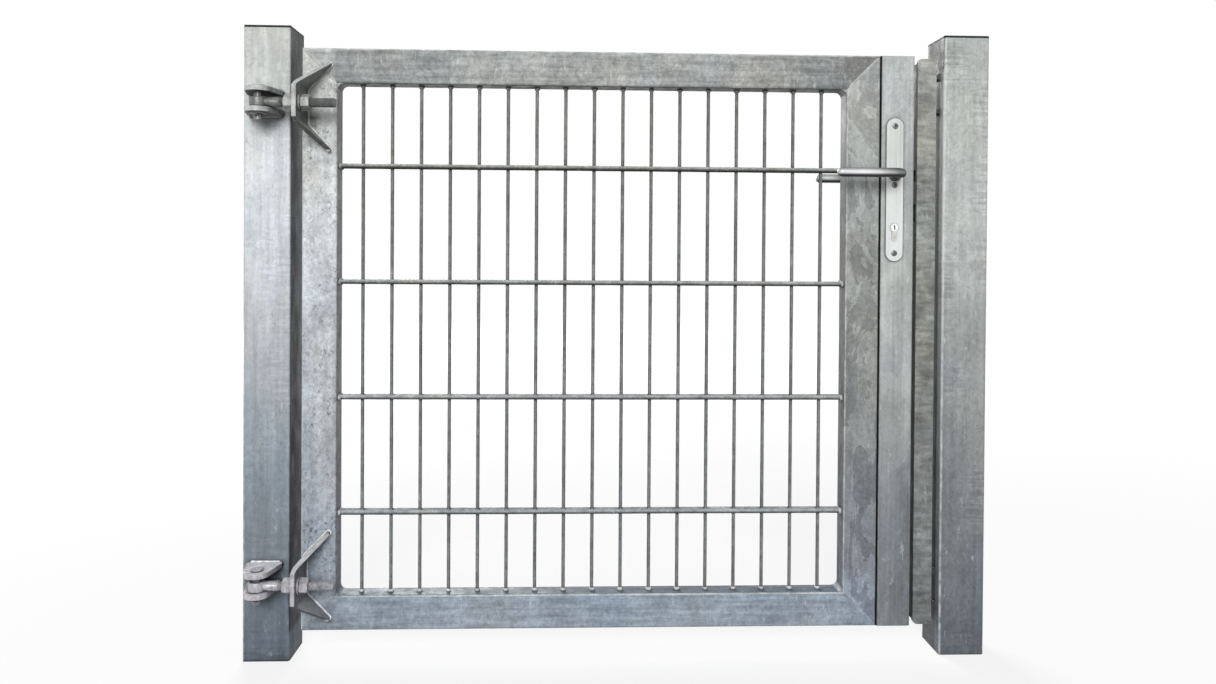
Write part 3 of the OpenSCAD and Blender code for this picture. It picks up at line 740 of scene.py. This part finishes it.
def mesh_welds(material):
    """Weld spots where the rods meet the frame."""
    wires, bars = rod_places()
    low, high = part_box("mesh_panel")
    proud = 1.6 * MM
    bar_proud = 1.5 * MM
    thick = 4.2 * MM
    rough = 0.3
    draw = random.Random(7)

    def build(shape):
        for i, x in enumerate(wires):
            for z, sign in ((low.z, 1), (high.z, -1)):
                r = draw.uniform(4.6 * MM, 6.0 * MM)
                blob(shape, Vector((x, MID_Y, z + sign * proud)), (r, r, thick), i, rough)
        for j, z in enumerate(bars):
            for side in (-1, 1):
                y = MID_Y + side * (BAR_D + WIRE_D) / 2
                for x, sign in ((low.x, 1), (high.x, -1)):
                    r = draw.uniform(5.4 * MM, 6.6 * MM)
                    blob(shape, Vector((x + sign * bar_proud, y, z)), (thick, r, r), j + 9, rough)
    new_piece("mesh_welds", build, "leaf", material, LUMPY)


# ---- welds of the frame, hinges and keeper ----

def low_bead(shape, start, end, out, width, height, seed):
    """A weld that is ground almost flush: a shallow ridge between two points."""
    step = 1.2 * MM
    sides = 12
    lumps_per_m = 60
    lump = 0.2
    sunk = 0.4 * height
    rise = 1.4 * height
    length = (end - start).length
    direction = (end - start).normalized()
    side = direction.cross(out).normalized()
    steps = int(length / step)
    loops = []
    for k in range(steps + 1):
        along = k / steps
        from_end = min(along, 1 - along) * length / width
        taper = math.sqrt(max(0.02, min(1, from_end)))
        swell = 1 + lump * noise.noise(Vector((along * length * lumps_per_m, 2, seed)))
        half = width / 2 * taper * swell
        centre = start.lerp(end, along) - out * sunk
        loop = []
        for i in range(sides):
            a = 2 * math.pi * i / sides
            place = centre + side * (math.cos(a) * half) + out * (math.sin(a) * rise * taper)
            loop.append(shape.verts.new(place))
        loops.append(loop)
    skin(shape, loops)


def corner_weld(shape, corner, sx, sz, seed):
    """The hollow fillet of weld metal in one inner corner of the frame, from front to back."""
    inset = 1.5 * MM
    hollow_r = 10.5 * MM
    sunk = 0.3 * MM
    root = 0.5 * MM
    lump, ripple = 0.10, 0.03
    lumps_per_m = 90
    turn_per_step = 1.9
    steps = 28
    rings = []
    for k in range(steps + 1):
        y = FRONT_Y + inset + (BACK_Y - FRONT_Y - 2 * inset) * k / steps
        swell = lump * noise.noise(Vector((y * lumps_per_m, seed, 3)))
        r = hollow_r * (1 + swell + ripple * math.cos(k * turn_per_step))
        outline = [(-root, -root)]
        for a in range(0, 91, 15):
            turn = math.radians(a)
            outline.append((r - r * math.sin(turn) - sunk, r - r * math.cos(turn) - sunk))
        rings.append([shape.verts.new((corner.x + sx * u, y, corner.z + sz * v)) for u, v in outline])
    skin(shape, rings)


def frame_welds(material):
    """Ground beads along the mitres, front and back, and fillets in the four inner corners."""
    from_outer = 4 * MM
    to_inner = TUBE_W - 3 * MM
    bead_w = 4.6 * MM
    bead_h = 0.22 * MM

    def build(shape):
        corners = [(LEAF_LOW.x, LEAF_LOW.z, 1, 1), (LEAF_HIGH.x, LEAF_LOW.z, -1, 1),
                   (LEAF_LOW.x, LEAF_HIGH.z, 1, -1), (LEAF_HIGH.x, LEAF_HIGH.z, -1, -1)]
        for n, (x, z, sx, sz) in enumerate(corners):
            for y, out in ((FRONT_Y, -AWAY), (BACK_Y, AWAY)):
                start = Vector((x + sx * from_outer, y, z + sz * from_outer))
                end = Vector((x + sx * to_inner, y, z + sz * to_inner))
                low_bead(shape, start, end, out, bead_w, bead_h, n + 0.5)
            corner_weld(shape, Vector((x + sx * TUBE_W, 0, z + sz * TUBE_W)), sx, sz, n + 3.5)
    new_piece("frame_welds", build, "leaf", material, LUMPY)


def outline_welds(name, nodes, axis, level, radius, body, material):
    """Fillet welds all round the faces by which nodes stand on a flat plane."""
    normal = Vector([1.0 if i == axis else 0.0 for i in range(3)])

    def build(shape):
        for n, node in enumerate(nodes):
            for m, outline in enumerate(contact_outlines(node, axis, level)):
                fillet_weld(shape, outline, normal, radius, n + m * 0.3)
    new_piece(name, build, body, material, LUMPY)


# ---- case of the keeper ----

def wall(shape, low, high):
    """An upright flat wall whose rear edges are rounded, with rings up its height."""
    rounded_share = 0.3
    turn = 30
    ring_gap = 20 * MM
    r = min(high.x - low.x, high.y - low.y) * rounded_share
    rings = []
    steps = max(2, round((high.z - low.z) / ring_gap))
    for k in range(steps + 1):
        z = low.z + (high.z - low.z) * k / steps
        ring = [(low.x, low.y), (high.x, low.y)]
        for cx, start in ((high.x - r, 0), (low.x + r, 90)):
            ring += [(cx + r * math.cos(math.radians(a)), high.y - r + r * math.sin(math.radians(a)))
                     for a in range(start, start + 91, turn)]
        rings.append([shape.verts.new((x, y, z)) for x, y in ring])
    skin(shape, rings)


def keeper_case(material):
    """Walls behind the keeper strip, which make it a hollow section. The lock's bolts enter by two slots."""
    low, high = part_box("keeper_strip")
    thick = 3 * MM
    corner = 8 * MM
    depth = 25 * MM
    lip = 8 * MM
    slot_gap = 2 * MM
    back = high.y + depth
    levels = [low.z + corner]
    for bolt in ("dead_bolt", "latch_bolt"):
        slot_low, slot_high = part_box(bolt)
        levels += [slot_low.z - slot_gap, slot_high.z + slot_gap]
    levels.append(high.z - corner)
    foot, head = levels[0], levels[-1]

    def build(shape):
        for bottom, top in zip(levels[::2], levels[1::2]):
            wall(shape, Vector((low.x, high.y, bottom)), Vector((low.x + thick, back, top)))
        for bottom, top in zip(levels[1:-1:2], levels[2:-1:2]):
            wall(shape, Vector((low.x, back - lip, bottom)), Vector((low.x + thick, back, top)))
        wall(shape, Vector((high.x - thick, high.y, foot)), Vector((high.x, back, head)))
        wall(shape, Vector((low.x + thick / 2, back - thick, foot)), Vector((high.x - thick / 2, back, head)))
    new_piece("keeper_case", build, "posts", material)


# ---- hinge bolts and small fasteners ----

def rounded_ring(inner, outer, half, r):
    """Profile of a ring with rounded outer edges, as (along, radius) pairs."""
    turns = [math.radians(a) for a in range(0, 91, 15)]
    top = [(half - r + r * math.sin(a), outer - r + r * math.cos(a)) for a in turns]
    low = [(-half + r - r * math.cos(a), outer - r + r * math.sin(a)) for a in turns]
    edge = 0.6 * MM
    bore = [(half, inner + edge), (half - edge, inner), (edge - half, inner), (-half, inner + edge)]
    return top + bore + low


def threaded_rod(shape, start, length, radius, pitch):
    """A rod along X whose surface is one long helical groove with a flat crest."""
    sides = 24
    rings_per_turn = 6
    rings = int(length / pitch * rings_per_turn)
    depth = 0.58 * pitch
    crest = 0.15
    blunt = 0.14
    loops = []
    for k in range(rings + 1):
        x = length * k / rings
        fade = min(1.0, x / pitch)
        edge = min(1.0, (length - x) / pitch)

        def grooved(a, x=x, fade=fade, edge=edge):
            from_crest = abs((x / pitch - a / (2 * math.pi)) % 1 - 0.5) * 2
            groove = max(0.0, from_crest - crest) / (1 - crest)
            return (radius - depth * groove * fade) * (1 - blunt + blunt * edge)
        loops.append(ring_of(shape, start + RIGHT * x, AWAY, UP, grooved, sides))
    skin(shape, loops)


def eye_bolt(node, material):
    """Eye, smooth neck and threaded shank of one hinge bolt, in the place of its CAD node."""
    low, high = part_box(node)
    centre = middle(node)
    eye_r = (high.y - low.y) / 2
    centre.x = low.x + eye_r
    half = (high.z - low.z) / 2
    pin_r = size("top_pin_washer").x / 4
    bore = pin_r + 0.1 * MM
    edge_r = 2.8 * MM
    shank_r = 8 * MM
    core_r = shank_r - 0.6 * MM
    pitch = 2 * MM
    neck_end = 32 * MM
    thread_start = neck_end + 2 * MM
    neck = [(eye_r - 5 * MM, shank_r - 0.4 * MM), (eye_r + 2 * MM, shank_r), (neck_end, shank_r),
            (neck_end + 1 * MM, core_r), (neck_end + 3 * MM, core_r)]

    def build(shape):
        lathe(shape, centre, UP, rounded_ring(bore, eye_r, half, edge_r), 64, True)
        lathe(shape, centre, RIGHT, neck, 40)
        thread_length = high.x - centre.x - thread_start
        threaded_rod(shape, centre + RIGHT * thread_start, thread_length, shank_r, pitch)
    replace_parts(new_piece(node + "_threaded", build, "leaf", material, TURNED), node)


def split_pin(name, washer, material):
    """A split pin through the tail of a hinge pin: a loop in front, and two legs bent apart behind."""
    low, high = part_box(washer)
    centre = Vector(((low.x + high.x) / 2, (low.y + high.y) / 2, low.z - 2.5 * MM))
    pin_r = (high.x - low.x) / 4
    wire = 0.85 * MM
    loop_r = 3.0 * MM
    loop_length = 1.2 * loop_r
    loop_y = -pin_r - 4.5 * MM
    loop_steps = 12
    leg_step = 1.6 * MM
    leg_bend = math.radians(9)

    def build(shape):
        for side in (-1, 1):
            path = []
            for k in range(loop_steps + 1):
                a = math.pi * k / loop_steps
                path.append(Vector((side * math.sin(a) * loop_r, loop_y - math.cos(a) * loop_length, 0)))
            path[-1].x = side * wire
            path += [Vector((side * wire, y, 0)) for y in (-pin_r, 0, pin_r)]
            for k in range(1, 7):
                a = leg_bend * k
                path.append(path[-1] + Vector((side * math.sin(a), math.cos(a), 0)) * leg_step)
            tube(shape, [centre + p for p in path], wire, UP, 8)
    new_piece(name, build, "posts", material, LUMPY)


def hex_socket_screw(shape, place, out, head_r, depth):
    """A raised countersunk head with a hexagon socket, whose rim lies in the plate's face."""
    sides = 48
    steps = 4
    bevel = 0.4 * MM
    foot_r = head_r * 0.55
    bevel_r = head_r * 0.97
    socket_r = head_r * 0.46
    flat_r = socket_r * 1.25
    socket_depth = head_r * 0.55
    rise = head_r * 0.20
    u, v = across(out)

    def circle(along, radius):
        return ring_of(shape, place + out * along, u, v, radius, sides)

    def hexagon(a):
        return socket_r * math.cos(math.pi / 6) / math.cos((a % (math.pi / 3)) - math.pi / 6)
    rings = [circle(-depth, foot_r), circle(-bevel, bevel_r), circle(0, head_r)]
    for k in range(1, steps + 1):
        r = head_r - (head_r - flat_r) * k / steps
        rings.append(circle(rise * (1 - (r / head_r) ** 2), r))
    top = rise * (1 - (socket_r / head_r) ** 2)
    rings += [circle(top, hexagon), circle(top - socket_depth, hexagon)]
    skin(shape, rings)


def plate_screws(material):
    """The three screws of each escutcheon and the two of the lock's face plate."""
    spindle_z = middle("spindle").z
    from_end = 14 * MM
    below_spindle = 18 * MM
    cover_head_r, cover_depth = 5.2 * MM, 2.4 * MM
    plate_from_end = 9 * MM
    plate_head_r, plate_depth = 4.0 * MM, 2.0 * MM
    plate_sunk = 0.2 * MM

    def build(shape):
        for node, out in (("front_escutcheon", -AWAY), ("back_escutcheon", AWAY)):
            low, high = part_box(node)
            x = (low.x + high.x) / 2
            face = low.y if out.y < 0 else high.y
            for z in (low.z + from_end, spindle_z - below_spindle, high.z - from_end):
                hex_socket_screw(shape, Vector((x, face, z)), out, cover_head_r, cover_depth)
        low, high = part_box("face_plate")
        y = (low.y + high.y) / 2
        for z in (low.z + plate_from_end, high.z - plate_from_end):
            place = Vector((high.x - plate_sunk, y, z))
            hex_socket_screw(shape, place, RIGHT, plate_head_r, plate_depth)
    new_piece("lock_screws", build, "leaf", material, TURNED)


# ---- the whole gate ----

HINGE_LUGS = ("top_upper_lug", "top_lower_lug", "bottom_upper_lug", "bottom_lower_lug")
BRACKETS = ("top_bracket", "bottom_bracket")


def finish_posts():
    hinge_tones = [(0.07, (108, 116, 125)), (0.28, (132, 141, 149)), (0.53, (184, 188, 191)),
                   (0.79, (208, 212, 215)), (1.0, (183, 186, 183))]
    latch_tones = [(0.07, (106, 111, 117)), (0.28, (129, 134, 137)), (0.53, (160, 164, 162)),
                   (0.79, (184, 188, 185)), (1.0, (168, 173, 170))]
    leaf_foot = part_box("hinge_stile")[0].z
    # Painted shade on the hinge post's inner side beside the leaf, painted light below it, and strong painted
    # shade in its narrow corners.
    painted_shade_beside_leaf = ((1, 0, 0), 0.42, ("Z", leaf_foot, FAR))
    painted_light_below_leaf = ((1, 0, 0), 1.6, ("Z", -FAR, leaf_foot))
    hinge_post = zinc("zinc_hinge_post", hinge_tones, 1, run_depth=0.12, cloud_depth=0.09,
                      mottle_depth=0.10, ripple_depth=0.10, sides=(painted_shade_beside_leaf, painted_light_below_leaf),
                      crevice_shade_depth=0.75, crevice_shade_span=(0.55, 0.93))
    strip_low, strip_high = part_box("keeper_strip")
    top = strip_high.z - 20 * MM
    # On the latch post's inner side: painted shade from near the keeper's top upwards and just behind the
    # strip, painted light on the front part below, and painted shade near other faces.
    above = ((-1, 0, 0), 0.28, ("Z", top, FAR))
    painted_light_at_side_front = ((-1, 0, 0), 1.7, ("Z", -FAR, top), ("Y", -FAR, strip_high.y + 4 * MM))
    behind = ((-1, 0, 0), 0.22, ("Z", strip_low.z, strip_high.z),
              ("Y", strip_high.y - 2 * MM, strip_high.y + 20 * MM))
    latch_post = zinc("zinc_latch_post", latch_tones, 21, run_depth=0.10, cloud_depth=0.12,
                      mottle_depth=0.14, ripple_depth=0.14, sides=(above, painted_light_at_side_front, behind),
                      shade_reach=22 * MM, shade_depth=0.25)
    paint(hinge_post, "hinge_post")
    paint(latch_post, "latch_post")
    paint(plastic_black(), "hinge_post_cap", "latch_post_cap")


def finish_stiles(seam_x):
    hinge_tones = [(0.10, (150, 157, 166)), (0.31, (166, 171, 178)), (0.50, (184, 189, 193)),
                   (0.74, (198, 202, 204)), (0.95, (182, 185, 182))]
    latch_tones = [(0.09, (143, 153, 167)), (0.17, (130, 135, 143)), (0.28, (128, 132, 136)),
                   (0.57, (148, 151, 148)), (0.86, (163, 167, 165)), (0.95, (176, 180, 179))]
    # Painted shade on the stiles' inner sides that face the opening, and near other faces.
    hinge_stile = zinc("zinc_hinge_stile", hinge_tones, 2, run_depth=0.08, freckle_depth=0.5,
                       sides=[((1, 0, 0), 0.85)], shade_depth=0.2, crevice_shade_depth=0.5)
    latch_stile = zinc("zinc_latch_stile", latch_tones, 32, run_depth=0.06, mottle_depth=0.18,
                       tide_depth=0.24, sides=[((-1, 0, 0), 0.85)], seam_x=seam_x)
    paint(hinge_stile, "hinge_stile")
    paint(latch_stile, "latch_stile")


def finish_rails():
    level_runs = (9, 90, 120)
    top_tones = [(0.90, (146, 148, 146)), (0.98, (151, 153, 151))]
    bottom_tones = [(0.05, (150, 160, 171)), (0.14, (147, 157, 168))]
    mitre_end = (OPEN_LOW.x - 3 * MM, OPEN_LOW.x - 13 * MM, 1.7)
    top_ends = (mitre_end, (across_leaf(0.323), across_leaf(0.063), 0.76),
                (across_leaf(0.743), across_leaf(0.913), 0.72))
    bottom_ends = ((across_leaf(0.883), across_leaf(1.003), 0.84),
                   (across_leaf(0.243), across_leaf(0.003), 0.80))
    # Painted shade on the top rail's underside and on the bottom rail's top face.
    top = zinc("zinc_top_rail", top_tones, 3, runs=level_runs, run_turn=(0, 0.14, 0), run_depth=0.22,
               mottle_depth=0.26, fades=top_ends, sides=[((0, 0, -1), 0.75)])
    bottom = zinc("zinc_bottom_rail", bottom_tones, 43, runs=level_runs, run_turn=(0, -0.08, 0),
                  run_depth=0.2, mottle_depth=0.2, fades=bottom_ends, sides=[((0, 0, 1), 0.55)])
    paint(top, "top_rail")
    paint(bottom, "bottom_rail")


def finish_lock_box(seam_x):
    tones = [(0.26, (126, 131, 136)), (0.55, (174, 179, 178)), (0.96, (176, 179, 177))]
    # Strong painted shade in the narrow corners, a dark line round the escutcheon.
    box = zinc("zinc_box", tones, 4, runs=(190, 190, 3), mottle_depth=0.10, seam_x=seam_x,
               crevice_shade_depth=0.8, crevice_shade_span=(0.6, 0.93))
    paint(box, "lock_box", "box_top_end", "box_bottom_end")


def finish_frame():
    seam_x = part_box("lock_box")[0].x
    finish_stiles(seam_x)
    finish_rails()
    finish_lock_box(seam_x)
    bead_tones = [(0.05, (144, 152, 161)), (0.3, (140, 145, 150)), (0.9, (168, 170, 166))]
    frame_welds(zinc("zinc_frame_welds", bead_tones, 16, runs=EVEN, bright_arris=0.2))


def finish_keeper():
    strip_tones = [(0.28, (121, 125, 124)), (0.57, (132, 134, 128)), (0.95, (156, 158, 152))]
    # The tabs' tones are darker than the strip's: painted shade, as they stand in the gap.
    tab_tones_shaded = [(0.2, (92, 95, 96)), (0.9, (104, 106, 104))]
    strip = zinc("zinc_strip", strip_tones, 5, runs=(26, 26, 95), run_turn=(0, 0.5, 0), run_depth=0.26,
                 cloud_depth=0.26, mottle_depth=0.16)
    # Painted shade on the case's side that faces the lock box.
    case = zinc("zinc_behind_strip", strip_tones, 12, sides=[((-1, 0, 0), 0.2)], bright_arris=0.05,
                scuffs=0.1)
    tabs = zinc("zinc_tabs", tab_tones_shaded, 13, bright_arris=0.05, scuffs=0.1)
    post_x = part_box("latch_post")[0].x
    paint(strip, "keeper_strip")
    paint(tabs, "keeper_tabs")
    outline_welds("tab_welds", ["keeper_tabs"], 0, post_x, 2.2 * MM, "posts", tabs)
    keeper_case(case)


def finish_plates():
    """The lugs and brackets of the hinges, and the welds that hold them."""
    lug_tones = [(0.1, (190, 187, 191)), (0.9, (190, 193, 189))]
    bracket_tones = [(0.1, (184, 183, 188)), (0.9, (176, 179, 175))]
    weld_tones = [(0.1, (222, 223, 227)), (0.9, (212, 215, 211))]
    # Painted shade on the lugs' undersides and painted light on their tops; painted shade on the brackets'
    # inner and downward faces.
    lug_painted_light_and_shade = [((0, 0, -1), 0.5), ((0, 0, 1), 1.9)]
    bracket_painted_shade = [((1, 0, 0), 0.55), ((0.72, 0, 0.69), 0.9), ((0, -0.6, -0.8), 0.25)]
    lugs = zinc("zinc_lugs", lug_tones, 7, runs=EVEN, sides=lug_painted_light_and_shade)
    brackets = zinc("zinc_brackets", bracket_tones, 14, runs=EVEN, mottle_depth=0.24, bright_arris=0.12,
                    sides=bracket_painted_shade)
    welds = zinc("zinc_hinge_welds", weld_tones, 15, runs=EVEN, mottle_depth=0.3, bright_arris=0,
                 shade_depth=0.3, crevice_shade_depth=0.15)
    post_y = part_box("hinge_post")[0].y
    paint(lugs, *HINGE_LUGS)
    paint(brackets, *BRACKETS)
    outline_welds("lug_welds", HINGE_LUGS, 1, post_y, 2.6 * MM, "posts", welds)
    outline_welds("bracket_welds", BRACKETS, 1, FRONT_Y, 2.4 * MM, "leaf", welds)


def finish_fasteners():
    """The eye bolts, nuts, washers and pins of the hinges."""
    bolt_tones = [(0.1, (184, 183, 190)), (0.9, (112, 115, 113))]
    nut_tones = [(0.1, (182, 177, 184)), (0.9, (158, 161, 157))]
    pin_tones = [(0.1, (134, 132, 136)), (0.9, (120, 122, 120))]
    bolts = zinc("zinc_bolts", bolt_tones, 8, runs=EVEN, mottle_depth=0.32, bright_arris=0.06, metal=0.1,
                 gloss=0.3, rough=(0.24, 0.42))
    nuts = zinc("zinc_nuts", nut_tones, 9, mottle_depth=0.24, bright_arris=0.12, metal=0.1, gloss=0.2)
    # Painted light on the pins' top faces.
    pins = zinc("zinc_pins", pin_tones, 10, bright_arris=0.05, sides=[((0, 0, 1), 3.8)], metal=0.1,
                gloss=0.5, rough=(0.2, 0.34))
    for hinge in ("top", "bottom"):
        paint(nuts, hinge + "_outer_nut", hinge + "_inner_nut", hinge + "_washers", hinge + "_pin_washer")
        paint(pins, hinge + "_pin")
        eye_bolt(hinge + "_eye_bolt", bolts)
    for hinge in ("top", "bottom"):
        split_pin(hinge + "_split_pin", hinge + "_pin_washer", pins)


def finish_lock():
    cover = satin("satin_cover", cover_tones_by_height, (260, 260, 4), metal=0.2, gloss=0.3, depth=0.03)
    lever = satin("satin_lever", grip_with_painted_light, (8, 300, 300), 5, metal=0.2, gloss=0.3, rough=(0.2, 0.34))
    cylinder = satin("satin_cylinder", plug_and_painted_gap_shade, (200, 200, 200), 6, metal=0.3)
    steel = satin("satin_lock", (196, 195, 190), (300, 300, 12), 7)
    screws = satin("satin_screws", (104, 107, 105), (260, 260, 260), 8, metal=0.2, gloss=0.4, depth=0.2)
    paint(cover, "front_escutcheon", "back_escutcheon")
    paint(lever, "front_lever", "back_lever")
    paint(cylinder, "lock_cylinder")
    paint(steel, "face_plate", "lock_case", "latch_bolt", "dead_bolt", "spindle")
    plate_screws(screws)


def finish_mesh():
    rod_tones = [(0.1, (124, 128, 131)), (0.9, (124, 125, 121))]
    spot_tones = [(0.1, (205, 208, 210)), (0.9, (150, 151, 147))]
    # Painted shade on the rods' flanks and undersides, and a painted highlight along their upper front.
    rod_painted_light_and_shade = [((1, 0, 0), 0.4), ((-1, 0, 0), 0.4), ((0, -0.55, 0.83), 2.0), ((0, -0.5, -0.87), 0.3)]
    rods = zinc("zinc_mesh", rod_tones, 6, runs=EVEN, sides=rod_painted_light_and_shade, bright_arris=0, metal=0, gloss=0.04)
    spots = zinc("zinc_spots", spot_tones, 11, runs=EVEN, bright_arris=0.1)
    mesh_rods(rods)
    mesh_welds(spots)


make_camera()
make_world(ambient=0.15)
make_floor(width=24, middle_x=0.6, grey=0.24)
area_light("key", place=(0.1, -6.5, 3.1), aim=(0.5, 0, 0.55), power=472)
area_light("back", place=(-1.4, 6.3, 3.6), aim=(0.6, 0, 0.55), power=400)
finish_posts()
finish_frame()
finish_keeper()
finish_plates()
finish_fasteners()
finish_lock()
finish_mesh()
bpy.context.scene.view_settings.view_transform = "Standard"
